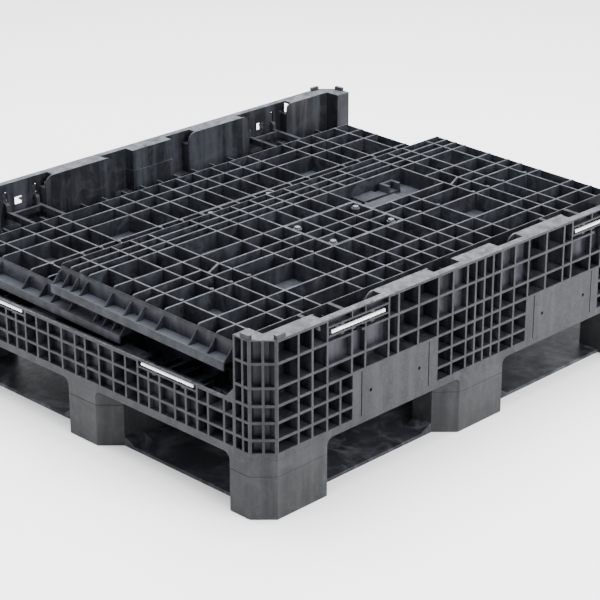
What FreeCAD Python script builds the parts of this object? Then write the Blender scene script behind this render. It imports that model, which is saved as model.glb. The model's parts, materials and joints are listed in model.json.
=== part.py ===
import FreeCAD, Part
import math
import os
from FreeCAD import Placement, Rotation, Vector

# Folding bulk container, folded flat: a base on nine feet with two tall and two low
# rims, and four hinged walls that lie on each other inside it.
# Frame: origin on the floor under the middle of the base, X along the long (tall) rims,
# Y across them, Z up. Millimetres.

DIMENSIONS = {
    # base
    "base_length": 1200,
    "base_width": 1000,
    "corner_cut": 36,
    "foot_height": 88,
    "deck_underside": 118,
    "deck_top": 131.5,
    "rim_top": 354,
    "low_rim_top": 226,
    "tall_shelf": 261.3,
    # moulding
    "rib": 5,
    "skin": 4,
    "thin_depth": 16,
    "box_depth": 39,
    "opening_radius": 15,
    "box_radius": 22,
    # feet
    "foot_long": 163,
    "foot_deep": 87,
    "middle_half_long": 65,
    "middle_half_short": 40,
    "middle_flare": 38,
    "flare_depth": 38,
    # skids between the feet, flat on the floor
    "skid_thickness": 7,
    "skid_outer_x": 562,
    "skid_inner_x": 400,
    "skid_outer_y": 462,
    "skid_inner_y": 345,
    "ramp_run": 30,
    "ramp_height": 14,
    # hinges
    "rod_radius": 5,
    "rod_length": 142,
    "rod_inset": 5.5,
    "rod_play": 0.35,
    "long_rod_centre": 355,
    "short_rod_centre": 248,
    "front_hinge_height": 326,
    "back_hinge_height": 326,
    "left_hinge_height": 217.5,
    "right_hinge_height": 217.5,
    "arm_width": 9,
    "arm_spread": 80,
    # walls
    "open_height": 921,
    "front_drop": 12,
    "back_drop": 29.5,
    "left_drop": 12,
    "right_drop": 49,
    "long_wall_thickness": 40,
    "short_wall_thickness": 36,
    "long_wall_half": 558,
    "short_wall_half": 421,
    "wall_rib": 4,
    "wall_start": 110,
    "crown": 9,
    "front_tilt": 1.4,
    "back_tilt": -1.5,
    "flange_half": 583,
    "lip_hang": 13,
}

# Rib lines of the tall rims, out from the middle, and of the low rims.
TALL_LINES = (0, 25.8, 51.2, 92.8, 135.3, 191.3, 247.3, 274.2)
TALL_SLOT_LINES = (274.2, 337.2, 372.9, 437.1)
TALL_END_LINES = (437.1, 475.6, 511, 564)
PLATE_SPAN = (138, 368)
END_BOX = 426
END_ROUND = 15
LOW_LINES = (15.3, 55.1, 95.9, 131.7, 166.9, 196.7, 227.3, 269, 298.8, 329, 357.9, 400, 425)
RIM_ROWS = (131.5, 159.8, 193.5, 226.4, 261.3, 308.3, 354)

# Rib lines of the long walls: across, and up from the hinge.
WALL_COLUMNS = (0, 50.4, 104.4, 160.4, 219.2, 332.4, 380.4, 430.4, 507.2, 558)
WALL_ROWS = (110, 158, 207, 297, 350, 386, 440, 513, 540, 567)
INSERT_ROWS = (297, 344, 380, 440)
SHORT_COLUMNS = (0, 50, 104, 160, 219, 290, 340, 380, 421)
SHORT_PITCH = 62

FRONT, RIGHT, BACK, LEFT = 0, 90, 180, -90
SIDES = {"front": FRONT, "right": RIGHT, "back": BACK, "left": LEFT}

doc = FreeCAD.newDocument("folding_container")
sheet = doc.addObject("Spreadsheet::Sheet", "dims")
for row, (alias, value) in enumerate(DIMENSIONS.items(), start=1):
    sheet.set(f"A{row}", alias)
    sheet.set(f"B{row}", str(value))
    sheet.setAlias(f"B{row}", alias)
doc.recompute()

nodes = []


def size(alias):
    """The value of one driving dimension."""
    return float(sheet.get(alias))


def as_node(piece, name):
    """Give a finished sub-part its name and put it on the list to write."""
    piece.Label = name
    nodes.append(piece)
    return piece


def turned(azimuth, point):
    """A point of the front side, turned about Z to another side."""
    return Rotation(Vector(0, 0, 1), azimuth).multVec(point)


# ---------------------------------------------------------------- sketch and solid helpers

def closed(points):
    """The closed ring of straight edges through the points."""
    ring = [Vector(x, y, 0) for x, y in points]
    return [Part.LineSegment(a, b) for a, b in zip(ring, ring[1:] + ring[:1])]


def rectangle(x0, x1, y0, y1):
    return closed(((x0, y0), (x1, y0), (x1, y1), (x0, y1)))


def arc(centre_x, centre_y, radius, start, end):
    """A quarter arc, angles in degrees, counter-clockwise."""
    circle = Part.Circle(Vector(centre_x, centre_y, 0), Vector(0, 0, 1), radius)
    return Part.ArcOfCircle(circle, math.radians(start), math.radians(end))


def new_sketch(body, name, height, geometry):
    """A sketch parallel to the body's XY plane, lifted by an expression."""
    sketch = body.newObject("Sketcher::SketchObject", name)
    plane = next(f for f in body.Origin.OriginFeatures if f.Role == "XY_Plane")
    sketch.AttachmentSupport = [(plane, "")]
    sketch.MapMode = "FlatFace"
    sketch.setExpression(".AttachmentOffset.Base.z", height)
    sketch.addGeometry(geometry, False)
    return sketch


def side_sketch(body, name, role, offset, geometry):
    """A sketch on the body's plane of that role, moved along its normal."""
    sketch = body.newObject("Sketcher::SketchObject", name)
    plane = next(f for f in body.Origin.OriginFeatures if f.Role == role)
    sketch.AttachmentSupport = [(plane, "")]
    sketch.MapMode = "FlatFace"
    sketch.AttachmentOffset = Placement(Vector(0, 0, offset), Rotation())
    sketch.addGeometry(geometry, False)
    return sketch


def pad(body, name, height, length, geometry):
    """Material upwards from the height."""
    feature = body.newObject("PartDesign::Pad", name)
    feature.Profile = new_sketch(body, name + "_sketch", height, geometry)
    feature.setExpression("Length", length)
    return feature


def pocket(body, name, height, length, geometry, upwards=False):
    """Material taken away, downwards from the height or upwards."""
    feature = body.newObject("PartDesign::Pocket", name)
    feature.Profile = new_sketch(body, name + "_sketch", height, geometry)
    feature.setExpression("Length", length)
    feature.Reversed = upwards
    return feature


def rod(name, radius, length, start, direction):
    """A round bar from the start along the direction."""
    bar = doc.addObject("Part::Cylinder", name)
    bar.setExpression("Radius", radius)
    bar.setExpression("Height", length)
    bar.Placement = Placement(start, Rotation(Vector(0, 0, 1), direction))
    return bar


def joined(name, pieces):
    fused = doc.addObject("Part::MultiFuse", name)
    fused.Shapes = pieces
    return fused


def grouped(name, pieces):
    """Separate solids that share one node."""
    group = doc.addObject("Part::Compound", name)
    group.Links = pieces
    return group


def cut(name, base, tool):
    result = doc.addObject("Part::Cut", name)
    result.Base = base
    result.Tool = tool
    return result


def mirrored_spans(lines):
    """Neighbouring lines as spans, on both sides of the middle."""
    right = list(zip(lines, lines[1:]))
    return [(-b, -a) for a, b in reversed(right)] + right


def spaced(start, end, count):
    """Evenly spaced lines from the start to the end."""
    return [start + (end - start) * i / count for i in range(count + 1)]


def cells(columns, rows, rib):
    """The openings between rib lines: one rectangle per column span and row span."""
    half = rib / 2
    return [edge
            for x0, x1 in columns
            for y0, y1 in rows
            for edge in rectangle(x0 + half, x1 - half, y0 + half, y1 - half)]


# ---------------------------------------------------------------- base: deck and feet

def foot_outlines():
    """Plan outline of each foot, keyed by node name."""
    length, width, cut_back = size("base_length") / 2, size("base_width") / 2, size("corner_cut")
    inner_x, inner_y = length - size("foot_long"), width - size("foot_deep")
    half_x, half_y = size("middle_half_long"), size("middle_half_short")
    flare, deep = size("middle_flare"), size("flare_depth")
    outlines = {"foot_centre": ((-half_x - flare, -half_y - flare), (half_x + flare, -half_y - flare),
                                (half_x + flare, half_y + flare), (-half_x - flare, half_y + flare))}
    for y_name, sy in (("front", -1), ("back", 1)):
        for x_name, sx in (("left", -1), ("right", 1)):
            outlines[f"foot_{y_name}_{x_name}"] = (
                (sx * (length - cut_back), sy * width), (sx * inner_x, sy * width),
                (sx * inner_x, sy * inner_y), (sx * length, sy * inner_y),
                (sx * length, sy * (width - cut_back)))
        outlines[f"foot_{y_name}_middle"] = (
            (-half_x, sy * width), (half_x, sy * width), (half_x + flare, sy * (width - deep)),
            (half_x + flare, sy * inner_y), (-half_x - flare, sy * inner_y),
            (-half_x - flare, sy * (width - deep)))
    for x_name, sx in (("left", -1), ("right", 1)):
        outlines[f"foot_middle_{x_name}"] = (
            (sx * length, -half_y), (sx * length, half_y), (sx * (length - deep), half_y + flare),
            (sx * inner_x, half_y + flare), (sx * inner_x, -half_y - flare),
            (sx * (length - deep), -half_y - flare))
    return outlines


def base_deck():
    """Deck plate with nine stubs below it, where the feet join."""
    body = doc.addObject("PartDesign::Body", "base_deck_body")
    half_x = size("base_length") / 2 - size("box_depth")
    half_y = size("base_width") / 2 - size("box_depth")
    pad(body, "deck_plate", "dims.deck_underside", "dims.deck_top - dims.deck_underside",
        rectangle(-half_x, half_x, -half_y, half_y))
    stubs = [edge for outline in foot_outlines().values() for edge in closed(outline)]
    pad(body, "deck_stubs", "dims.foot_height", "dims.deck_underside - dims.foot_height", stubs)
    as_node(body, "base_deck")


def foot(name, outline):
    """One separate foot block with its edges broken at the floor and at the seam."""
    body = doc.addObject("PartDesign::Body", name + "_body")
    block = pad(body, name + "_block", "0", "dims.foot_height", closed(outline))
    doc.recompute()
    flat_faces = [f"Face{i}" for i, face in enumerate(block.Shape.Faces, start=1)
                  if abs(face.normalAt(0, 0).z) > 0.9]
    edges = body.newObject("PartDesign::Chamfer", name + "_edges")
    edges.Base = (block, flat_faces)
    edges.Size = 1.5
    as_node(body, name)


def skid(name, outline, ramps, role):
    """Flat board between feet, with a low ramp on each side of the middle foot."""
    body = doc.addObject("PartDesign::Body", name + "_body")
    pad(body, name + "_board", "0", "dims.skid_thickness", closed(outline))
    low, high = size("skid_thickness"), size("skid_thickness") + size("ramp_height")
    for index, (toe, heel, start, length) in enumerate(ramps):
        ramp = body.newObject("PartDesign::Pad", f"{name}_ramp_{index}")
        ramp.Profile = side_sketch(body, f"{name}_ramp_sketch_{index}", role, start,
                                   closed(((toe, low - 1), (heel, low - 1), (heel, high), (toe, low))))
        ramp.Length = length
    as_node(body, name)


def skids():
    """Four boards that link the outer feet into a frame."""
    long_x, long_y = size("base_length") / 2, size("base_width") / 2
    foot_x, foot_y = long_x - size("foot_long"), long_y - size("foot_deep")
    out_x, in_x, out_y, in_y = (size(f"skid_{way}") for way in ("outer_x", "inner_x", "outer_y", "inner_y"))
    flare = size("middle_flare")
    mid_x, mid_y = size("middle_half_long") + flare, size("middle_half_short") + flare
    run, deep = size("ramp_run"), 45
    for name, sign in (("front", -1), ("back", 1)):
        outline = [(-foot_x, out_y), (-mid_x, out_y), (-mid_x, foot_y), (mid_x, foot_y), (mid_x, out_y),
                   (foot_x, out_y), (foot_x, foot_y), (in_x, foot_y), (in_x, in_y), (-in_x, in_y),
                   (-in_x, foot_y), (-foot_x, foot_y)]
        # a pad from this sketch plane runs towards -Y
        start = out_y - deep if sign < 0 else -out_y
        ramps = [(side * (mid_x + run), side * mid_x, start, deep) for side in (-1, 1)]
        skid(f"skid_{name}", [(x, sign * y) for x, y in outline], ramps, "XZ_Plane")
    for name, sign in (("left", -1), ("right", 1)):
        outline = [(out_x, -foot_y), (in_x, -foot_y), (in_x, foot_y), (out_x, foot_y), (out_x, mid_y),
                   (foot_x, mid_y), (foot_x, -mid_y), (out_x, -mid_y)]
        start = -out_x if sign < 0 else out_x - deep
        ramps = [(side * (mid_y + run), side * mid_y, start, deep) for side in (-1, 1)]
        skid(f"skid_{name}", [(sign * x, y) for x, y in outline], ramps, "YZ_Plane")


# ---------------------------------------------------------------- base: rims

def corner_scrap(x, y, radius, side):
    """The sliver outside a rounded top corner at (x, y); side is 1 for a right corner, -1 for a left."""
    bend = arc(x - side * radius, y - radius, radius, *((0, 90) if side > 0 else (90, 180)))
    ring = [Vector(*point, 0) for point in ((x - side * radius, y), (x - side * radius, y + 1),
                                            (x + side, y + 1), (x + side, y - radius), (x, y - radius))]
    return [bend] + [Part.LineSegment(a, b) for a, b in zip(ring, ring[1:])]


def rim_bottom(half, openings, low):
    """Lower edge of a rim, left to right, rounded down to the stubs beside each opening."""
    radius = size("opening_radius")
    edges = []
    x = -half
    for x0, x1 in openings:
        edges.append(Part.LineSegment(Vector(x, low, 0), Vector(x0, low, 0)))
        edges.append(Part.LineSegment(Vector(x0, low, 0), Vector(x0, low - radius, 0)))
        edges.append(arc(x0 + radius, low - radius, radius, 90, 180))
        edges.append(Part.LineSegment(Vector(x0 + radius, low, 0), Vector(x1 - radius, low, 0)))
        edges.append(arc(x1 - radius, low - radius, radius, 0, 90))
        edges.append(Part.LineSegment(Vector(x1, low - radius, 0), Vector(x1, low, 0)))
        x = x1
    edges.append(Part.LineSegment(Vector(x, low, 0), Vector(half, low, 0)))
    return edges


def clear_stub(body, name, stub_half):
    """Cut the rounded opening corners back to the flared sides of the middle stub."""
    slope, deep = size("middle_flare") / size("flare_depth"), size("box_depth") + 1
    wedges = [edge for sign in (-1, 1)
              for edge in closed(((sign * (stub_half - slope), -1), (sign * (stub_half + slope * deep), deep),
                                  (sign * (stub_half - slope), deep)))]
    clearance = body.newObject("PartDesign::Pocket", name + "_stub_room")
    clearance.Profile = side_sketch(body, name + "_stub_room_sketch", "XZ_Plane",
                                    -size("deck_underside"), wedges)
    clearance.Length = size("opening_radius") + 1
    clearance.Reversed = True


def rim_outline(half, openings, shelf, boxes):
    """Side view of a rim: shelf height with boxes (x0, x1, top, radius) that stand on it."""
    low = size("deck_underside")
    points = [(half, low)]
    arcs = []
    breaks = []
    for x0, x1, top, radius in sorted(boxes, reverse=True):
        if x1 < half:
            points.append((x1, shelf))
        points.append((x1, top - radius))
        if radius:
            breaks.append(len(points) - 1)
            arcs.append(arc(x1 - radius, top - radius, radius, 0, 90))
            points.append((x1 - radius, top))
            points.append((x0 + radius, top))
            breaks.append(len(points) - 1)
            arcs.append(arc(x0 + radius, top - radius, radius, 90, 180))
            points.append((x0, top - radius))
        else:
            points.append((x0, top))
        if x0 > -half:
            points.append((x0, shelf))
    if sorted(boxes)[0][0] > -half:
        points.append((-half, shelf))
    points.append((-half, low))
    if points[1][0] < half:
        points.insert(1, (half, shelf))
        breaks = [i + 1 for i in breaks]
    ring = [Vector(x, y, 0) for x, y in points]
    straight = [Part.LineSegment(a, b) for i, (a, b) in enumerate(zip(ring, ring[1:]))
                if i not in breaks and a.distanceToPoint(b) > 0]
    return rim_bottom(half, openings, low) + straight + arcs


def rim_body(name, azimuth, half_width):
    """An empty body whose XY plane is the rim's outer face and whose Z points inwards."""
    body = doc.addObject("PartDesign::Body", name + "_body")
    upright = Rotation(Vector(0, 0, 1), azimuth + 180).multiply(Rotation(Vector(1, 0, 0), 90))
    body.Placement = Placement(turned(azimuth, Vector(0, -half_width, 0)), upright)
    return body


def arm_passages(centre, spread, width, hinge_height, slot_high):
    """Gaps behind the face of a rim, where the arms of a wall reach its two rods."""
    gaps = []
    for sign in (-1, 1):
        for arm in (-1, 1):
            middle = sign * centre + arm * spread
            gaps += rectangle(middle - width / 2 - 2, middle + width / 2 + 2, hinge_height - 18, slot_high)
    return gaps


def tall_rim(name, azimuth, hinge_height):
    """Long side: ribbed outer face, hollow boxes inwards, two rod slots and two plates."""
    rib, top, shelf = size("rib"), size("rim_top"), size("tall_shelf")
    half = size("base_length") / 2 - size("corner_cut")
    inner = size("base_length") / 2 - size("foot_long")
    openings = ((-inner, -size("middle_half_long")), (size("middle_half_long"), inner))
    radius = size("box_radius")
    body = rim_body(name, azimuth, size("base_width") / 2)

    thin = rim_outline(half, openings, top, ((-half, half, top, 0),))
    pad(body, name + "_face", "0", "dims.thin_depth", thin)
    box_inner, box_outer = TALL_LINES[4] - 25, TALL_LINES[7] + 28
    boxes = [(-half, -END_BOX, top, 0), (END_BOX, half, top, 0),
             (-box_outer, -box_inner, top, radius), (box_inner, box_outer, top, radius),
             (-TALL_LINES[2] - 6, TALL_LINES[2] + 6, top, 0)]
    thick = rim_outline(half, openings, shelf, boxes)
    pad(body, name + "_boxes", "0", "dims.box_depth", thick)
    # the middle box has a second, deeper step on its lower half
    step = rectangle(-TALL_LINES[2] - 8, TALL_LINES[2] + 8, size("deck_top"), (shelf + top) / 2)
    pad(body, name + "_step", "0", "dims.box_depth + 4", step)

    bottom_rows = list(zip(RIM_ROWS[0:4], RIM_ROWS[1:4]))
    middle_row = [(RIM_ROWS[3], RIM_ROWS[4])]
    top_rows = [(RIM_ROWS[4], RIM_ROWS[5]), (RIM_ROWS[5], RIM_ROWS[6] - rib / 2)]
    ends = mirrored_spans(TALL_END_LINES)
    narrow = mirrored_spans(TALL_LINES[0:3])
    flat = mirrored_spans(TALL_LINES[2:5])
    lugs = mirrored_spans(TALL_LINES[4:8])
    slot = mirrored_spans(TALL_SLOT_LINES)
    beside_plate = mirrored_spans((PLATE_SPAN[1], 402.7, TALL_END_LINES[0]))
    deep = cells(narrow + lugs + ends, top_rows, rib)
    deep += cells(narrow + flat + lugs + slot + ends, middle_row, rib)
    deep += cells(narrow + flat + beside_plate + ends, bottom_rows, rib)
    pocket(body, name + "_deep_cells", "0", "dims.box_depth - dims.skin", deep, True)
    shallow = cells(flat, top_rows, rib) + cells(slot, top_rows[:1], rib)
    pocket(body, name + "_shallow_cells", "0", "dims.thin_depth - dims.skin", shallow, True)

    clear_stub(body, name, size("middle_half_long"))

    # the boxes' rounded corners are open behind the rim's face; only their inner wall goes on
    corners = [edge for sign in (-1, 1)
               for edge in corner_scrap(sign * END_BOX, top, END_ROUND, -sign)]
    pocket(body, name + "_end_rounds", "dims.thin_depth", "dims.box_depth", corners, True)
    open_ends = []
    for sign in (-1, 1):
        for x0, x1 in ((box_inner - 1, box_inner + radius), (box_outer - radius, box_outer + 1),
                       (END_BOX - 1, END_BOX + END_ROUND)):
            open_ends += rectangle(*sorted((sign * x0, sign * x1)), top - radius - 4, top + 1)
    pocket(body, name + "_open_ends", "dims.thin_depth", "dims.box_depth - dims.thin_depth - 3.5",
           open_ends, True)

    # rod slots between two thin ribs, with small cells above and below
    thin_rib = 3
    slot_low, slot_high = hinge_height - size("rod_radius"), hinge_height + 10.5
    slots = [edge for sign in (-1, 1)
             for edge in rectangle(*sorted((sign * (TALL_SLOT_LINES[0] + rib / 2),
                                            sign * (TALL_SLOT_LINES[3] - rib / 2))), slot_low, slot_high)]
    pocket(body, name + "_rod_slots", "0", "dims.thin_depth - dims.skin", slots, True)
    small_rows = ((RIM_ROWS[5], slot_low - thin_rib / 2), (slot_high + thin_rib / 2, top - 1))
    pocket(body, name + "_small_cells", "0", "dims.thin_depth - dims.skin", cells(slot, small_rows, thin_rib),
           True)
    centre, spread, width = size("long_rod_centre"), size("arm_spread") / 2, size("arm_width")
    arms = arm_passages(centre, spread, width, hinge_height, slot_high)
    pocket(body, name + "_passages", "2.5", "dims.thin_depth", arms, True)
    windows = []
    for sign in (-1, 1):
        windows += rectangle(sign * 358 - 11, sign * 358 + 11, hinge_height - 24, hinge_height - 7)
        end = sign * centre + size("rod_length") / 2
        windows += rectangle(end - 4, end + 7, slot_low + 1, slot_high - 2)
    pocket(body, name + "_windows", "0", "dims.thin_depth + 1", windows, True)

    # stacking nubs near both ends
    nubs = [edge for x0 in (-half, half - 22) for edge in rectangle(x0, x0 + 22, top, top + 8)]
    pad(body, name + "_nubs", "1", "8", nubs)

    # two plain plates with a groove near each end and two fixing holes
    bars = []
    holes = []
    for sign in (-1, 1):
        for line in (PLATE_SPAN[0] + 21, PLATE_SPAN[1] - 22):
            bars += rectangle(sign * line - 1.2, sign * line + 1.2, RIM_ROWS[0], RIM_ROWS[3] - rib / 2)
        for line in (PLATE_SPAN[0] + 48, PLATE_SPAN[1] - 47):
            holes.append(Part.Circle(Vector(sign * line, 178, 0), Vector(0, 0, 1), 3.5))
    plate_middle = (PLATE_SPAN[0] + PLATE_SPAN[1]) / 2
    plates = mirrored_spans((PLATE_SPAN[0], plate_middle, PLATE_SPAN[1]))
    pocket(body, name + "_plate_backs", "dims.box_depth", "dims.box_depth - dims.skin",
           cells(plates, bottom_rows, rib))
    pocket(body, name + "_plate_grooves", "0", "2", bars, True)
    pocket(body, name + "_plate_holes", "0", "30", holes, True)
    as_node(body, name)


def low_rim(name, azimuth, hinge_height):
    """Short side: ribbed outer face with two rod slots, low enough for the flanges above."""
    rib, top = size("rib"), size("low_rim_top")
    half = LOW_LINES[-1]
    shelf = RIM_ROWS[0]
    inner = size("base_width") / 2 - size("foot_deep")
    openings = ((-inner, -size("middle_half_short")), (size("middle_half_short"), inner))
    body = rim_body(name, azimuth, size("base_length") / 2)
    thin = rim_outline(half, openings, top, ((-half, half, top, 0),))
    pad(body, name + "_face", "0", "dims.thin_depth", thin)
    boxes = [(-half, -LOW_LINES[9] - 3, top, 0), (LOW_LINES[9] + 3, half, top, 0),
             (-LOW_LINES[4] - 3, -LOW_LINES[2] + 3, top, 0), (LOW_LINES[2] - 3, LOW_LINES[4] + 3, top, 0)]
    pad(body, name + "_boxes", "0", "dims.box_depth", rim_outline(half, openings, shelf, boxes))
    clear_stub(body, name, size("middle_half_short"))

    slot_low, slot_high = hinge_height - size("rod_radius"), hinge_height + 5.4
    low_rows = [(RIM_ROWS[0], RIM_ROWS[1]), (RIM_ROWS[1], RIM_ROWS[2])]
    top_row = [(RIM_ROWS[2], top - rib / 2 - 1)]
    under_slot = [(RIM_ROWS[2], slot_low - 1)]
    spans = mirrored_spans(LOW_LINES)
    boxed = [span for span in spans if LOW_LINES[2] <= min(map(abs, span)) < LOW_LINES[4]
             or min(map(abs, span)) >= LOW_LINES[9]]
    rodded = [span for span in spans if LOW_LINES[4] <= min(map(abs, span)) < LOW_LINES[9]]
    flat = [span for span in spans if span not in boxed + rodded] + [(-LOW_LINES[0], LOW_LINES[0])]
    pocket(body, name + "_deep_cells", "0", "dims.box_depth - dims.skin",
           cells(boxed, low_rows + top_row, rib), True)
    shallow = cells(flat, low_rows + top_row, rib) + cells(rodded, low_rows + under_slot, rib)
    pocket(body, name + "_shallow_cells", "0", "dims.thin_depth - dims.skin", shallow, True)

    slots = [edge for sign in (-1, 1)
             for edge in rectangle(*sorted((sign * (LOW_LINES[4] + rib / 2), sign * (LOW_LINES[9] - rib / 2))),
                                   slot_low, slot_high)]
    pocket(body, name + "_rod_slots", "0", "dims.thin_depth - dims.skin", slots, True)
    centre, spread, width = size("short_rod_centre"), size("arm_spread") / 2, size("arm_width")
    arms = arm_passages(centre, spread, width, hinge_height, slot_high)
    pocket(body, name + "_passages", "2.5", "dims.thin_depth", arms, True)
    windows = [edge for sign in (-1, 1)
               for edge in rectangle(sign * centre - 18, sign * centre + 18, slot_low - 16, slot_low - 3)]
    pocket(body, name + "_windows", "0", "dims.thin_depth + 1", windows, True)

    # only a lip at the outer face reaches full height
    step = rectangle(-half - 1, half + 1, top - 4, top + 1)
    pocket(body, name + "_step", "dims.rib", "dims.box_depth", step, True)
    deep_step = [edge for x0, x1 in ((-half - 1, -LOW_LINES[9] - 6), (LOW_LINES[9] + 6, half + 1))
                 for edge in rectangle(x0, x1, top - 14, top)]
    pocket(body, name + "_deep_step", "dims.rib", "dims.box_depth", deep_step, True)
    webs = [edge for sign in (-1, 1)
            for edge in closed(((sign * half, top - 1), (sign * half, top + 24), (sign * (half - 22), top),
                                (sign * (half - 22), top - 1)))]
    pad(body, name + "_webs", "0", "dims.rib", webs)
    as_node(body, name)


def corner_post(name, sx, sy):
    """Corner of the base: a cut-off corner with cells in the cut face and the short face."""
    rib, deep, cut_back = size("rib"), size("box_depth"), size("corner_cut")
    length, width = size("base_length") / 2, size("base_width") / 2
    low_end = LOW_LINES[-1]
    body = doc.addObject("PartDesign::Body", name + "_core")
    outline = ((length - cut_back, width), (length, width - cut_back), (length, low_end),
               (length - deep, low_end), (length - deep, width - deep), (length - cut_back, width - deep))
    pad(body, name + "_block", "dims.deck_underside", "dims.rim_top - dims.deck_underside",
        closed([(sx * x, sy * y) for x, y in outline]))
    pad(body, name + "_nub", "dims.rim_top", "8",
        rectangle(*sorted((sx * (length - 9), sx * (length - 1))),
                  *sorted((sy * (width - cut_back - 22), sy * (width - cut_back)))))
    cutters = []
    face = Vector(sx * (length - cut_back / 2), sy * (width - cut_back / 2), 0)
    angle = {(-1, -1): -45, (1, -1): 45, (1, 1): 135, (-1, 1): -135}[(sx, sy)]
    facing = Rotation(Vector(0, 0, 1), angle)
    edge = cut_back * 2 ** 0.5 / 2 - rib
    side_columns = ((low_end + rib, low_end + 21), (low_end + 26, width - cut_back - rib / 2))
    for index, (z0, z1) in enumerate(zip(RIM_ROWS, RIM_ROWS[1:])):
        for side, x0 in enumerate((-edge, rib / 2)):
            cell = doc.addObject("Part::Box", f"{name}_cut_cell_{index}_{side}")
            cell.Length = edge - rib / 2
            cell.Width = 15
            cell.Height = z1 - z0 - rib
            cell.Placement = Placement(face + facing.multVec(Vector(x0, -1, z0 + rib / 2)), facing)
            cutters.append(cell)
        for side, (y0, y1) in enumerate(side_columns):
            cell = doc.addObject("Part::Box", f"{name}_side_cell_{index}_{side}")
            cell.Length = 17
            cell.Width = y1 - y0
            cell.Height = z1 - z0 - rib
            corner_x = length - 16 if sx > 0 else -length - 1
            corner_y = y0 if sy > 0 else -y1
            cell.Placement = Placement(Vector(corner_x, corner_y, z0 + rib / 2), Rotation())
            cutters.append(cell)
    as_node(cut(name + "_celled", body, joined(name + "_cells", cutters)), name)


# ---------------------------------------------------------------- hinge rods

def hinge_rods(side, half_width, centre, height):
    """Two steel rods, one each side of the middle, in the slots of a rim."""
    azimuth = SIDES[side]
    for hand, sign in (("left", -1), ("right", 1)):
        start = Vector(sign * centre - size("rod_length") / 2, size("rod_inset") - half_width, height)
        bar = rod(f"{side}_rod_{hand}_bar", "dims.rod_radius", "dims.rod_length",
                  turned(azimuth, start), turned(azimuth, Vector(1, 0, 0)))
        as_node(bar, f"{side}_hinge_rod_{hand}")


# ---------------------------------------------------------------- folding walls
# A wall is drawn from its hinge axis: x along the axis, y up the wall, z out of its outer
# face. Folded, the outer face looks up and lies a little below the axis.

def wall_place(side, height, tilt):
    half_width = size("base_width") / 2 if side in ("front", "back") else size("base_length") / 2
    azimuth = SIDES[side]
    axis = turned(azimuth, Vector(0, size("rod_inset") - half_width, 0)) + Vector(0, 0, height)
    leaning = Rotation(Vector(0, 0, 1), azimuth).multiply(Rotation(Vector(1, 0, 0), tilt))
    return Placement(axis, leaning)


def wall_body(name, place):
    body = doc.addObject("PartDesign::Body", name + "_body")
    body.Placement = place
    return body


def wall_grid(name, place, drop, half, tip, thickness, columns, rows, skipped, extras):
    """Skin with a lattice of ribs on its outer face and a plain skirt towards the hinge."""
    body = wall_body(name, place)
    bottom = f"-dims.{drop} - dims.{thickness}"
    start = size("wall_start")
    rib, skin = size("wall_rib"), size("skin")
    pad(body, name + "_slab", bottom, f"dims.{thickness}", rectangle(-half, half, start, tip))
    skirt_half = half - 24
    pad(body, name + "_skirt", bottom, "dims.skin + 2", rectangle(-skirt_half, skirt_half, 48, start))
    inner_columns = [x for line in columns[1:-1] for x in (-line, line)] + [0]
    skirt_ribs = [edge for x in inner_columns
                  for edge in rectangle(x - rib / 2, x + rib / 2, 48, start)]
    pad(body, name + "_skirt_ribs", bottom, "20", skirt_ribs)
    spans = mirrored_spans(columns)
    row_spans = list(zip(rows, rows[1:])) + [(rows[-1], tip)]
    kept = [(column, row) for column in spans for row in row_spans
            if not any(x0 <= column[0] and column[1] <= x1 and y0 <= row[0] and row[1] <= y1
                       for x0, x1, y0, y1 in skipped)]
    lattice = [edge for (x0, x1), (y0, y1) in kept
               for edge in rectangle(x0 + rib / 2, x1 - rib / 2, y0 + rib / 2, y1 - rib / 2)]
    for x0, x1, y0, y1 in skipped:
        lattice += rectangle(x0 + rib / 2, x1 - rib / 2, y0 + rib / 2, y1 - rib / 2)
    pocket(body, name + "_cells", f"-dims.{drop}", f"dims.{thickness} - dims.skin", lattice)
    for index, outline in enumerate(extras):
        pad(body, f"{name}_brace_{index}", bottom, f"dims.{thickness}", outline)
    # the ribs' tops curve down to both end faces
    for sign in (-1, 1):
        groove = body.newObject("PartDesign::Pocket", f"{name}_crown_{sign + 1}")
        groove.Profile = side_sketch(body, f"{name}_crown_sketch_{sign + 1}", "XZ_Plane", -start + 1,
                                     corner_scrap(sign * half, -size(drop), size("crown"), sign))
        groove.Length = tip - start + 2
    return body


def wall_nubs(body, name, drop, columns, u):
    """Low round nubs on the upright ribs."""
    discs = [Part.Circle(Vector(sign * line, u, 0), Vector(0, 0, 1), 4.5)
             for line in columns[3:-1] for sign in (-1, 1)]
    pad(body, name + "_nubs", f"-dims.{drop}", "1.6", discs)


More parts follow.
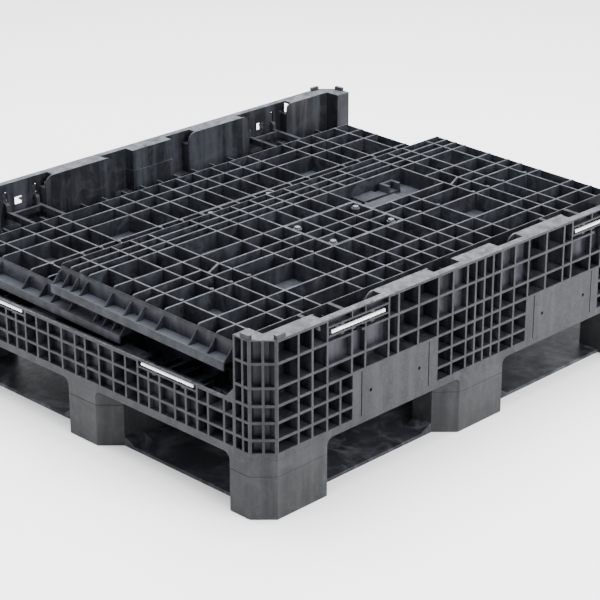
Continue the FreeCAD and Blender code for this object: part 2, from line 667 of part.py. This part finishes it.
def wall_flange(name, place, drop, tip, sign):
    """End of a long wall: an outward ledge with a lip below it and gussets above it."""
    body = wall_body(name, place)
    half, outer = size("long_wall_half"), size("flange_half")
    top, floor = -size(drop), -size(drop) - size("long_wall_thickness")
    skin, hang = size("skin"), size("lip_hang")
    start = size("wall_start")
    profile = [(half, floor), (outer - skin, floor), (outer - skin, floor - hang), (outer, floor - hang),
               (outer, floor + skin), (outer - 3, floor + skin), (half, top - size("crown"))]
    sketch = side_sketch(body, name + "_profile", "XZ_Plane", -start,
                         closed([(sign * x, z) for x, z in profile]))
    ledge = body.newObject("PartDesign::Pad", name + "_ledge")
    ledge.Profile = sketch
    ledge.Length = tip - start
    ledge.Reversed = True
    thick = 3
    tall = [start + thick / 2, 158, 207]
    low = [297, 350, 386, 440, 513, 540, 567, tip - thick / 2]
    lines = tall + low
    gaps = [edge for a, b in zip(lines, lines[1:])
            for edge in rectangle(*sorted((sign * (half - 1), sign * (outer + 1))),
                                  a + thick / 2, b - thick / 2)]
    pocket(body, name + "_gaps", f"-dims.{drop} + 1", "dims.long_wall_thickness - dims.skin + 1", gaps)
    tops = rectangle(*sorted((sign * (half - 1), sign * (outer + 1))), low[0] - thick, tip + 1)
    pocket(body, name + "_low_gussets", f"-dims.{drop} + 1", "15", tops)
    return body


def hinge_arm(name, place, drop, centre, over_rod):
    """Bracket of two hooked arms and a cross bar that holds a wall on its rod."""
    body = wall_body(name, place)
    width, spread = size("arm_width"), size("arm_spread") / 2
    start = size("wall_start")
    top, low = -size(drop), -size(drop) - 13
    heel = [(22, top), (22, -16), (18, -12), (9, -12)] if top < -12 else [(9, -12)]
    eye = [(9, -3), (8.5, 4.5), (4.5, 8.5), (-2, 8.5)] if over_rod else [(9, -1), (-2, -1)]
    hook = [(-2, -14), (7, -14), (12, -16), (12, low), (start, low), (start, top)] + heel + eye
    for index, x in enumerate((centre - spread, centre + spread)):
        arm = body.newObject("PartDesign::Pad", f"{name}_arm_{index}")
        arm.Profile = side_sketch(body, f"{name}_arm_sketch_{index}", "YZ_Plane", x - width / 2, closed(hook))
        arm.Length = width
        if index == 0:
            pad(body, name + "_bar", f"-dims.{drop} - 13", "13",
                rectangle(centre - spread, centre + spread, 30, 37))
    bore = body.newObject("PartDesign::Pocket", name + "_bore")
    bore.Profile = side_sketch(body, name + "_bore_sketch", "YZ_Plane", centre - spread - width,
                               [Part.Circle(Vector(0, 0, 0), Vector(0, 0, 1),
                                            size("rod_radius") + size("rod_play"))])
    bore.Length = 2 * (spread + width)
    bore.Reversed = True
    return body


def long_wall(side, height, tilt):
    """A long wall with its centre insert, recess with a latch, end flanges and hinge arms."""
    place = wall_place(side, height, tilt)
    name = f"{side}_wall"
    drop = f"{side}_drop"
    tip = size("open_height") - height
    half = size("long_wall_half")
    rib, skin = size("wall_rib"), size("skin")
    insert = (-WALL_COLUMNS[2], WALL_COLUMNS[2], INSERT_ROWS[0], INSERT_ROWS[-1])
    recess = (WALL_COLUMNS[2], WALL_COLUMNS[5], 386, 513)
    braced = ((-WALL_COLUMNS[6], -WALL_COLUMNS[5], 350, 440), (WALL_COLUMNS[5], WALL_COLUMNS[6], 350, 440))
    braces = []
    for x0, x1, low, high in braced:
        braces.append(closed(((x0, 364), (x1, 386), (x1, 391), (x0, 369))))
    grid = wall_grid(name + "_grid", place, drop, half, tip, "long_wall_thickness", WALL_COLUMNS, WALL_ROWS,
                     (insert, recess) + braced, braces)
    wall_nubs(grid, name + "_grid", drop, WALL_COLUMNS, 304)
    as_node(grid, name + "_grid")
    for hand, sign in (("left", -1), ("right", 1)):
        as_node(wall_flange(f"{name}_flange_{hand}", place, drop, tip, sign), f"{name}_flange_{hand}")
        as_node(hinge_arm(f"{name}_hinge_arm_{hand}", place, drop, sign * size("long_rod_centre"), True),
                f"{name}_hinge_arm_{hand}")

    # centre insert: a lattice of its own, held by four snap pins
    gap = rib / 2 + 0.3
    body = wall_body(name + "_insert", place)
    x0, x1, y0, y1 = insert
    foot = f"-dims.{drop} - dims.long_wall_thickness + dims.skin"
    pad(body, name + "_insert_block", foot, "dims.long_wall_thickness - dims.skin",
        rectangle(x0 + gap, x1 - gap, y0 + gap, y1 - gap))
    columns = ((x0 + 3, -WALL_COLUMNS[1]), (-WALL_COLUMNS[1], 0), (0, WALL_COLUMNS[1]),
               (WALL_COLUMNS[1], x1 - 3))
    rows = ((y0 + 3, INSERT_ROWS[1]), (INSERT_ROWS[1], INSERT_ROWS[2]), (INSERT_ROWS[2], y1 - 3))
    pocket(body, name + "_insert_cells", f"-dims.{drop}", "dims.long_wall_thickness - 2 * dims.skin",
           cells(columns, rows, rib))
    spots = [Vector(x, y, 0) for x in (-86, 86) for y in (316, 416)]
    pad(body, name + "_insert_bosses", foot, "dims.long_wall_thickness - dims.skin - 3",
        [Part.Circle(spot, Vector(0, 0, 1), 9) for spot in spots])
    as_node(body, name + "_insert")
    pins = []
    for index, spot in enumerate(spots):
        pin = wall_body(f"{name}_pin_{index}", place)
        pad(pin, f"{name}_pin_head_{index}", f"-dims.{drop} - 3", "4.2",
            [Part.Circle(spot, Vector(0, 0, 1), 6)])
        pins.append(pin)
    as_node(grouped(name + "_pin_set", pins), name + "_insert_pins")

    # latch: a fixed housing and a sliding handle on the floor of the recess
    x0, x1, y0, y1 = recess
    housing = wall_body(name + "_latch_housing", place)
    pad(housing, name + "_latch_block", foot, "22", rectangle(x0 + 3, x0 + 126, y0 + 4, y0 + 52))
    rails = [edge for y in (y0 + 83, y0 + 114.4) for edge in rectangle(x0 + 66, x0 + 126, y, y + 4.6)]
    pad(housing, name + "_latch_rails", foot, "8", rails)
    pad(housing, name + "_latch_bridge", foot, "8", rectangle(x0 + 66, x0 + 72, y0 + 50, y0 + 85))
    pad(housing, name + "_latch_cover", foot + " + 6.8", "3",
        rectangle(x0 + 66, x0 + 126, y0 + 83, y0 + 119))
    as_node(housing, name + "_latch_housing")
    handle = wall_body(name + "_latch_handle", place)
    pad(handle, name + "_latch_tongue", foot + " + 0.3", "6",
        rectangle(x0 + 60, x0 + 188, y0 + 88, y0 + 114))
    grip = [edge for x in (x0 + 146, x0 + 178) for edge in rectangle(x, x + 8, y0 + 88, y0 + 114)]
    pad(handle, name + "_latch_posts", foot + " + 0.3", "22", grip)
    pad(handle, name + "_latch_grip", foot + " + 0.3", "22",
        rectangle(x0 + 146, x0 + 186, y0 + 107, y0 + 114))
    as_node(handle, name + "_latch_handle")


def short_wall(side, height):
    """A short wall: lattice and hinge arms. Folded, it lies flat under the long walls."""
    place = wall_place(side, height, 0)
    name = f"{side}_wall"
    drop = f"{side}_drop"
    tip = size("open_height") - height
    start = size("wall_start")
    rows = spaced(start, tip, round((tip - start) / SHORT_PITCH))[:-1]
    grid = wall_grid(name + "_grid", place, drop, size("short_wall_half"), tip, "short_wall_thickness",
                     SHORT_COLUMNS, rows, (), ())
    as_node(grid, name + "_grid")
    for hand, sign in (("left", -1), ("right", 1)):
        arm = f"{name}_hinge_arm_{hand}"
        as_node(hinge_arm(arm, place, drop, sign * size("short_rod_centre"), False), arm)


# ---------------------------------------------------------------- the whole container

base_deck()
for foot_name, foot_outline in foot_outlines().items():
    foot(foot_name, foot_outline)
skids()
tall_rim("front_rim", FRONT, size("front_hinge_height"))
tall_rim("back_rim", BACK, size("back_hinge_height"))
low_rim("left_rim", LEFT, size("left_hinge_height"))
low_rim("right_rim", RIGHT, size("right_hinge_height"))
for y_name, sy in (("front", -1), ("back", 1)):
    for x_name, sx in (("left", -1), ("right", 1)):
        corner_post(f"corner_post_{y_name}_{x_name}", sx, sy)
for side in SIDES:
    is_long = side in ("front", "back")
    hinge_rods(side, size("base_width" if is_long else "base_length") / 2,
               size("long_rod_centre" if is_long else "short_rod_centre"), size(f"{side}_hinge_height"))
long_wall("front", size("front_hinge_height"), size("front_tilt"))
long_wall("back", size("back_hinge_height"), size("back_tilt"))
short_wall("left", size("left_hinge_height"))
short_wall("right", size("right_hinge_height"))
doc.recompute()

failed = [thing.Label for thing in doc.Objects if set(thing.State) & {"Invalid", "Error"}]
failed += [piece.Label for piece in nodes if piece.Shape.isNull() or not piece.Shape.isValid()]
if failed:
    raise RuntimeError(f"these objects failed: {failed}")

os.makedirs("parts", exist_ok=True)
for piece in nodes:
    piece.Shape.exportStep(f"parts/{piece.Label}.step")
    print(piece.Label, len(piece.Shape.Solids), round(piece.Shape.Volume / 1e6, 3))
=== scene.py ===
import json
import math

import bpy
from mathutils import Matrix, Vector


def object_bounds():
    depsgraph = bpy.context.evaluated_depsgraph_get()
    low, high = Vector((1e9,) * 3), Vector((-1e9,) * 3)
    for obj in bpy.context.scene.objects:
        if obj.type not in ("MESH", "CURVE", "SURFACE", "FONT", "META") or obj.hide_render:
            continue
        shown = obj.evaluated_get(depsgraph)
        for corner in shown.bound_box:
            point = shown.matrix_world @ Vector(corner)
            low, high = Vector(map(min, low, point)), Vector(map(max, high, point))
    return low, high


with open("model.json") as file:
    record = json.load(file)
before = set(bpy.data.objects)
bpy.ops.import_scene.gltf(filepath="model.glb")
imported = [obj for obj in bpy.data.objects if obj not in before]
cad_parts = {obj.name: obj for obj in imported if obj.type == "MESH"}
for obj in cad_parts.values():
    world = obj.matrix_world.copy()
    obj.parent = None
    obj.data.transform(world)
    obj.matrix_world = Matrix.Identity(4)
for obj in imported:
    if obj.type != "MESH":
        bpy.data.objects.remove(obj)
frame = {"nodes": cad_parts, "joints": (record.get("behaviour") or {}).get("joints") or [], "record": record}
cad_box = [list(corner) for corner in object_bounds()]
cad_low, cad_high = (Vector(corner) for corner in cad_box)


# ---------------------------------------------------------------- node graph helpers

class Graph:
    """Short calls for building one material's node tree."""

    def __init__(self, name):
        self.material = bpy.data.materials.new(name)
        self.material.use_nodes = True
        self.tree = self.material.node_tree
        self.shader = self.tree.nodes["Principled BSDF"]
        self.coords = self.tree.nodes.new("ShaderNodeTexCoord")

    def link(self, source, socket):
        self.tree.links.new(source, socket)

    def node(self, kind, values=(), **settings):
        """A node with its settings, and a number or a link on each named input."""
        made = self.tree.nodes.new(kind)
        for key, value in settings.items():
            setattr(made, key, value)
        for key, value in dict(values).items():
            if isinstance(value, bpy.types.NodeSocket):
                self.link(value, made.inputs[key])
            else:
                made.inputs[key].default_value = value
        return made

    def noise(self, scale, detail=3.0, rough=0.5, distortion=0.0, vector=None):
        vector = self.coords.outputs["Object"] if vector is None else vector
        made = self.node("ShaderNodeTexNoise", {"Vector": vector, "Scale": scale, "Detail": detail,
                                                "Roughness": rough, "Distortion": distortion})
        return made.outputs["Fac"]

    def stretched(self, scale, rotation=(0, 0, 0), offset=(0, 0, 0)):
        """Object coordinates scaled by a different amount along each axis."""
        made = self.node("ShaderNodeMapping", {"Vector": self.coords.outputs["Object"], "Scale": scale,
                                               "Rotation": rotation, "Location": offset})
        return made.outputs["Vector"]

    def ramp(self, value, low, high, to_low=0.0, to_high=1.0):
        made = self.node("ShaderNodeMapRange", {"Value": value, "From Min": low, "From Max": high,
                                                "To Min": to_low, "To Max": to_high})
        return made.outputs["Result"]

    def combine(self, operation, first, *others):
        """The values taken together by MULTIPLY or MAXIMUM."""
        for other in others:
            first = self.node("ShaderNodeMath", {0: first, 1: other}, operation=operation).outputs[0]
        return first

    def mix(self, factor, first, second):
        """A blend of two colours, each given as numbers or as a link."""
        made = self.node("ShaderNodeMix", {"Factor": factor}, data_type="RGBA")
        for socket, value in ((made.inputs[6], first), (made.inputs[7], second)):
            if isinstance(value, bpy.types.NodeSocket):
                self.link(value, socket)
            else:
                socket.default_value = (*value, 1.0)
        return made.outputs[2]

    def bump(self, height, strength, distance, normal=None):
        made = self.node("ShaderNodeBump", {"Height": height, "Strength": strength, "Distance": distance})
        if normal is not None:
            self.link(normal, made.inputs["Normal"])
        return made.outputs["Normal"]


def shaded(colour, factor):
    """A colour made darker or lighter by a factor."""
    return [channel * factor for channel in colour]


# ---------------------------------------------------------------- where the outer faces lie

SIDES = {"front": (0, -1, 0), "back": (0, 1, 0), "left": (-1, 0, 0), "right": (1, 0, 0)}
UP = (0, 0, 1)
HALF_X, HALF_Y = cad_high.x, cad_high.y
# heights above which the rims are scuffed and, on faces that point up, carry a painted sheen
TALL_RIM_TOP, LOW_RIM_TOP = 0.354, 0.226
CORNER_CUT = 0.036
# how far the outer face of each folded wall lies below its hinge axis
WALL_DROPS = {"front": 0.012, "back": 0.0295, "left": 0.012, "right": 0.049}
joints = {joint["name"]: joint for joint in frame["joints"]}


def rim_planes(side):
    """Outer face and top of a rim. Every plane is a normal and the level along it."""
    if side in ("front", "back"):
        return [(SIDES[side], HALF_Y), (UP, TALL_RIM_TOP)]
    return [(SIDES[side], HALF_X), (UP, LOW_RIM_TOP)]


def post_planes(name):
    """Two outer faces, the cut-off corner between them and the top of a corner post."""
    out_x = 1 if "right" in name else -1
    out_y = 1 if "back" in name else -1
    diagonal = Vector((out_x, out_y, 0)).normalized()
    level = (HALF_X + HALF_Y - CORNER_CUT) * math.sqrt(0.5)
    return [((out_x, 0, 0), HALF_X), ((0, out_y, 0), HALF_Y), (diagonal, level), (UP, TALL_RIM_TOP)]


def wall_planes(side):
    """Outer face of a wall, which points up while the wall is folded down."""
    joint = joints[f"{side}_wall_fold"]
    folded_by = math.radians(joint["range_deg"][1])
    normal = Matrix.Rotation(-folded_by, 3, Vector(joint["axis"])) @ Vector(SIDES[side])
    return [(normal, normal.dot(Vector(joint["pos_m"])) - WALL_DROPS[side])]


def outer_planes(name, slot):
    side = name.split("_")[0]
    if slot == "post_plastic":
        return post_planes(name)
    if slot == "rim_plastic":
        return rim_planes(side)
    if slot in ("wall_plastic", "fitting_plastic"):
        return wall_planes(side)
    return []


# ---------------------------------------------------------------- plastic

BLACK = (0.0030, 0.0034, 0.0046)
COAL = (0.0085, 0.0094, 0.0122)
ASH = (0.038, 0.041, 0.050)
OUTER_FACE = (0.0205, 0.0214, 0.0236)
SCUFF_DEPTH = 0.0016
EDGE_RADIUS = 0.0009

# dark, light and pale are the body's own colours; the rib-edge colour is a painted sheen, with rubbed wear
PLASTICS = {
    "post_plastic": dict(dark=BLACK, light=COAL, pale=ASH, sheen_and_wear=(0.085, 0.090, 0.100), streaks=0.3),
    "rim_plastic": dict(dark=BLACK, light=COAL, pale=ASH, sheen_and_wear=(0.105, 0.111, 0.122), streaks=0.65,
                        dust=0.2),
    "fitting_plastic": dict(dark=BLACK, light=COAL, pale=ASH, sheen_and_wear=ASH, dust=0.5),
    "wall_plastic": dict(dark=(0.0045, 0.0050, 0.0066), light=(0.0125, 0.0138, 0.0175),
                         pale=(0.046, 0.051, 0.063), sheen_and_wear=(0.074, 0.081, 0.095),
                         streaks=0.3, swirl=0.35, mottle=0.65, dust=0.9),
    "foot_plastic": dict(dark=(0.013, 0.0134, 0.0144), light=(0.022, 0.0226, 0.0240),
                         pale=(0.048, 0.0494, 0.053), streaks=0.35, swirl=0.25, mottle=0.4, rough=0.5),
    "skid_plastic": dict(dark=(0.0085, 0.0092, 0.0112), light=(0.021, 0.0225, 0.027),
                         pale=(0.095, 0.099, 0.11), streaks=0.0, swirl=1.0, rough=0.36),
    "base_plastic": dict(dark=(0.0125, 0.013, 0.014), light=(0.023, 0.0237, 0.0252),
                         pale=(0.048, 0.0495, 0.053), streaks=0.3, mottle=0.4),
}


def plastic_masks(g):
    """The patterns that the layers of a plastic share, each from 0 to 1."""
    normal_z = g.node("ShaderNodeSeparateXYZ", {"Vector": g.coords.outputs["Normal"]}).outputs["Z"]
    scored = g.stretched((260, 9, 60), rotation=(0.3, 0.2, 0.5))
    return {
        "up": g.ramp(normal_z, 0.86, 0.99),
        "flow": g.ramp(g.noise(1, 3, 0.6, 0.4, g.stretched((34, 34, 3.2))), 0.44, 0.66),
        "blotch": g.ramp(g.noise(19, 6, 0.68, 1.4), 0.5, 0.7),
        "patch": g.ramp(g.noise(22, 4, 0.6, 0.6), 0.3, 0.62, 0.35, 1.0),
        "grit": g.ramp(g.noise(170, 5, 0.72, 0.5), 0.36, 0.66),
        "scores": g.ramp(g.noise(1, 4, 0.65, 0.2, scored), 0.62, 0.7),
    }


def body_colour(g, masks, dark, light, pale, streaks, swirl, mottle, dust):
    """Cloudy colour with flow streaks, blotches and swirls, and dust on faces that point up."""
    cloud = g.ramp(g.noise(7, 4, 0.55), 0.32, 0.68)
    eddy = g.ramp(g.noise(5, 6, 0.68, 2.6), 0.49, 0.64)
    fade = g.ramp(g.noise(3.1, 2, vector=g.stretched((1, 1, 1), offset=(4.1, 2.7, 8.3))), 0.42, 0.62)
    colour = g.mix(cloud, dark, light)
    for layer in ((masks["flow"], streaks), (masks["blotch"], mottle), (eddy, fade, swirl),
                  (masks["up"], masks["patch"], dust)):
        colour = g.mix(g.combine("MULTIPLY", *layer), colour, pale)
    return colour


def outer_colour(g, masks, sheen_and_wear, streaks, mottle):
    """Scuffed outermost faces, and a painted sheen with rubbed wear on the rib edges that point up."""
    face = g.mix(g.combine("MULTIPLY", masks["patch"], masks["grit"]),
                 shaded(OUTER_FACE, 0.62), shaded(OUTER_FACE, 1.35))
    face = g.mix(g.combine("MULTIPLY", masks["blotch"], mottle), face, shaded(OUTER_FACE, 1.5))
    face = g.mix(g.combine("MULTIPLY", masks["flow"], streaks), face, shaded(OUTER_FACE, 1.7))
    rubbed = g.ramp(g.noise(34, 6, 0.7, 0.8), 0.36, 0.62)
    rubbed = g.combine("MULTIPLY", rubbed, g.ramp(masks["grit"], 0.0, 1.0, 0.55, 1.0))
    # faces that point up get the painted sheen, made patchy by rubbed wear
    return g.mix(masks["up"], face, g.mix(rubbed, shaded(sheen_and_wear, 0.28), shaded(sheen_and_wear, 1.25)))


def exposed(g, planes):
    """1 within the scuff depth of any of the outer planes, 0 further in."""
    found = 0.0
    for normal, level in planes:
        along = g.node("ShaderNodeVectorMath", {0: g.coords.outputs["Object"], 1: normal},
                       operation="DOT_PRODUCT").outputs["Value"]
        near = g.ramp(along, level - SCUFF_DEPTH, level - SCUFF_DEPTH / 3)
        found = g.combine("MAXIMUM", near, found)
    return found


def moulded_relief(g, masks):
    """Softened edges, a slightly wavy surface, fine grain and scored lines."""
    soft = g.node("ShaderNodeBevel", {"Radius": EDGE_RADIUS}, samples=4).outputs["Normal"]
    wavy = g.bump(g.noise(38, 2), 0.25, 0.0012, soft)
    grained = g.bump(g.noise(1400, 2, 0.7), 0.16, 0.0002, wavy)
    return g.bump(masks["scores"], 0.12, 0.0002, grained)


def plastic(label, planes, dark, light, pale, sheen_and_wear=ASH, streaks=0.5, swirl=0.3, mottle=0.5, dust=0.0,
            rough=0.46):
    """Recycled charcoal plastic, worn where it lies on an outer plane, with painted sheen where that faces
    up.
    """
    g = Graph(label)
    masks = plastic_masks(g)
    colour = body_colour(g, masks, dark, light, pale, streaks, swirl, mottle, dust)
    if planes:
        colour = g.mix(exposed(g, planes), colour, outer_colour(g, masks, sheen_and_wear, streaks, mottle))
    colour = g.mix(g.combine("MULTIPLY", masks["scores"], 0.16), colour, pale)
    colour = g.mix(g.ramp(masks["grit"], 0.0, 1.0, 0.22, 0.0), colour, dark)
    g.link(colour, g.shader.inputs["Base Color"])
    g.link(g.ramp(g.noise(60, 3), 0.3, 0.7, rough - 0.06, rough + 0.08), g.shader.inputs["Roughness"])
    g.link(moulded_relief(g, masks), g.shader.inputs["Normal"])
    g.shader.inputs["Specular IOR Level"].default_value = 0.16
    return g.material


# ---------------------------------------------------------------- steel

METALS = {"rod_steel": dict(colour=(0.90, 0.90, 0.89), rough=0.26),
          "pin_metal": dict(colour=(0.24, 0.245, 0.25), rough=0.42)}


def steel(label, colour, rough):
    """Drawn steel: lengthwise grain with small dull spots."""
    g = Graph(label)
    spots = g.ramp(g.noise(120, 4, 0.6), 0.55, 0.75)
    g.link(g.mix(spots, colour, shaded(colour, 0.62)), g.shader.inputs["Base Color"])
    g.link(g.ramp(g.noise(90, 3), 0.3, 0.7, rough - 0.08, rough + 0.12), g.shader.inputs["Roughness"])
    grain = g.noise(1, 2, vector=g.stretched((18, 900, 900)))
    g.link(g.bump(grain, 0.2, 0.0002), g.shader.inputs["Normal"])
    g.shader.inputs["Metallic"].default_value = 1.0
    return g.material


# ---------------------------------------------------------------- a material for each piece

def look(label, name, slot):
    if slot in METALS:
        return steel(label, **METALS[slot])
    if name.startswith("corner_post"):
        slot = "post_plastic"
    return plastic(label, outer_planes(name, slot), **PLASTICS[slot])


slot_of = {entry["node"]: entry["material_slot"] for entry in frame["record"]["subparts"]}
looks = {}
for name, piece in frame["nodes"].items():
    slot = slot_of[name]
    # pieces with outer planes of their own can't share a material
    key = name if slot in ("rim_plastic", "wall_plastic", "fitting_plastic") else slot
    if key not in looks:
        looks[key] = look(key + "_look", name, slot)
    piece.data.materials.clear()
    piece.data.materials.append(looks[key])


# ---------------------------------------------------------------- studio

FLOOR_HALF = 30.0
FLOOR_GAP = 0.0002
LIT_POINT = Vector((0, 0, 0.2))
# name, place, width, height and power in watts
SOFTBOXES = (("overhead", (0.3, 0.6, 3.4), 4.0, 3.2, 400),
             ("front_fill", (0.4, -4.2, 2.2), 3.0, 2.2, 330),
             ("left_fill", (-4.2, 0.6, 1.9), 2.6, 2.0, 10))
SKY_COLOUR = (0.97, 0.98, 1.0, 1.0)
SKY_STRENGTH = 2.0


def floor():
    """Plain pale floor just under the object."""
    corners = [(x * FLOOR_HALF, y * FLOOR_HALF, 0) for x, y in ((-1, -1), (1, -1), (1, 1), (-1, 1))]
    mesh = bpy.data.meshes.new("floor")
    mesh.from_pydata(corners, [], [(0, 1, 2, 3)])
    plane = bpy.data.objects.new("floor", mesh)
    bpy.context.collection.objects.link(plane)
    plane.location.z = cad_low.z - FLOOR_GAP
    g = Graph("floor_look")
    g.link(g.mix(g.ramp(g.noise(2, 2), 0.3, 0.7), (0.93, 0.93, 0.93), (0.96, 0.96, 0.96)),
           g.shader.inputs["Base Color"])
    g.shader.inputs["Roughness"].default_value = 0.9
    mesh.materials.append(g.material)


def softbox(name, place, width, height, watts):
    lamp = bpy.data.lights.new(name, "AREA")
    lamp.shape = "RECTANGLE"
    lamp.size = width
    lamp.size_y = height
    lamp.energy = watts
    made = bpy.data.objects.new(name, lamp)
    bpy.context.collection.objects.link(made)
    made.location = place
    made.rotation_mode = "QUATERNION"
    made.rotation_quaternion = (LIT_POINT - Vector(place)).to_track_quat("-Z", "Y")


def sky():
    world = bpy.data.worlds.new("studio")
    world.use_nodes = True
    background = world.node_tree.nodes["Background"]
    background.inputs["Color"].default_value = SKY_COLOUR
    background.inputs["Strength"].default_value = SKY_STRENGTH
    bpy.context.scene.world = world


floor()
for box in SOFTBOXES:
    softbox(*box)
sky()


# ---------------------------------------------------------------- camera

EYE = (-2.8495, -2.8039, 1.7868)
YAW, PITCH = math.radians(45.467), math.radians(22.687)
SENSOR_WIDTH, FOCAL_LENGTH = 36.0, 122.58
CLIP_END = 100


def camera():
    """Camera turned by YAW from +Y towards +X, and down by PITCH."""
    lens = bpy.data.cameras.new("camera")
    lens.sensor_width = SENSOR_WIDTH
    lens.lens = FOCAL_LENGTH
    lens.clip_end = CLIP_END
    made = bpy.data.objects.new("camera", lens)
    bpy.context.collection.objects.link(made)
    made.location = EYE
    aim = Vector((math.sin(YAW) * math.cos(PITCH), math.cos(YAW) * math.cos(PITCH), -math.sin(PITCH)))
    made.rotation_mode = "QUATERNION"
    made.rotation_quaternion = aim.to_track_quat("-Z", "Y")
    bpy.context.scene.camera = made


camera()
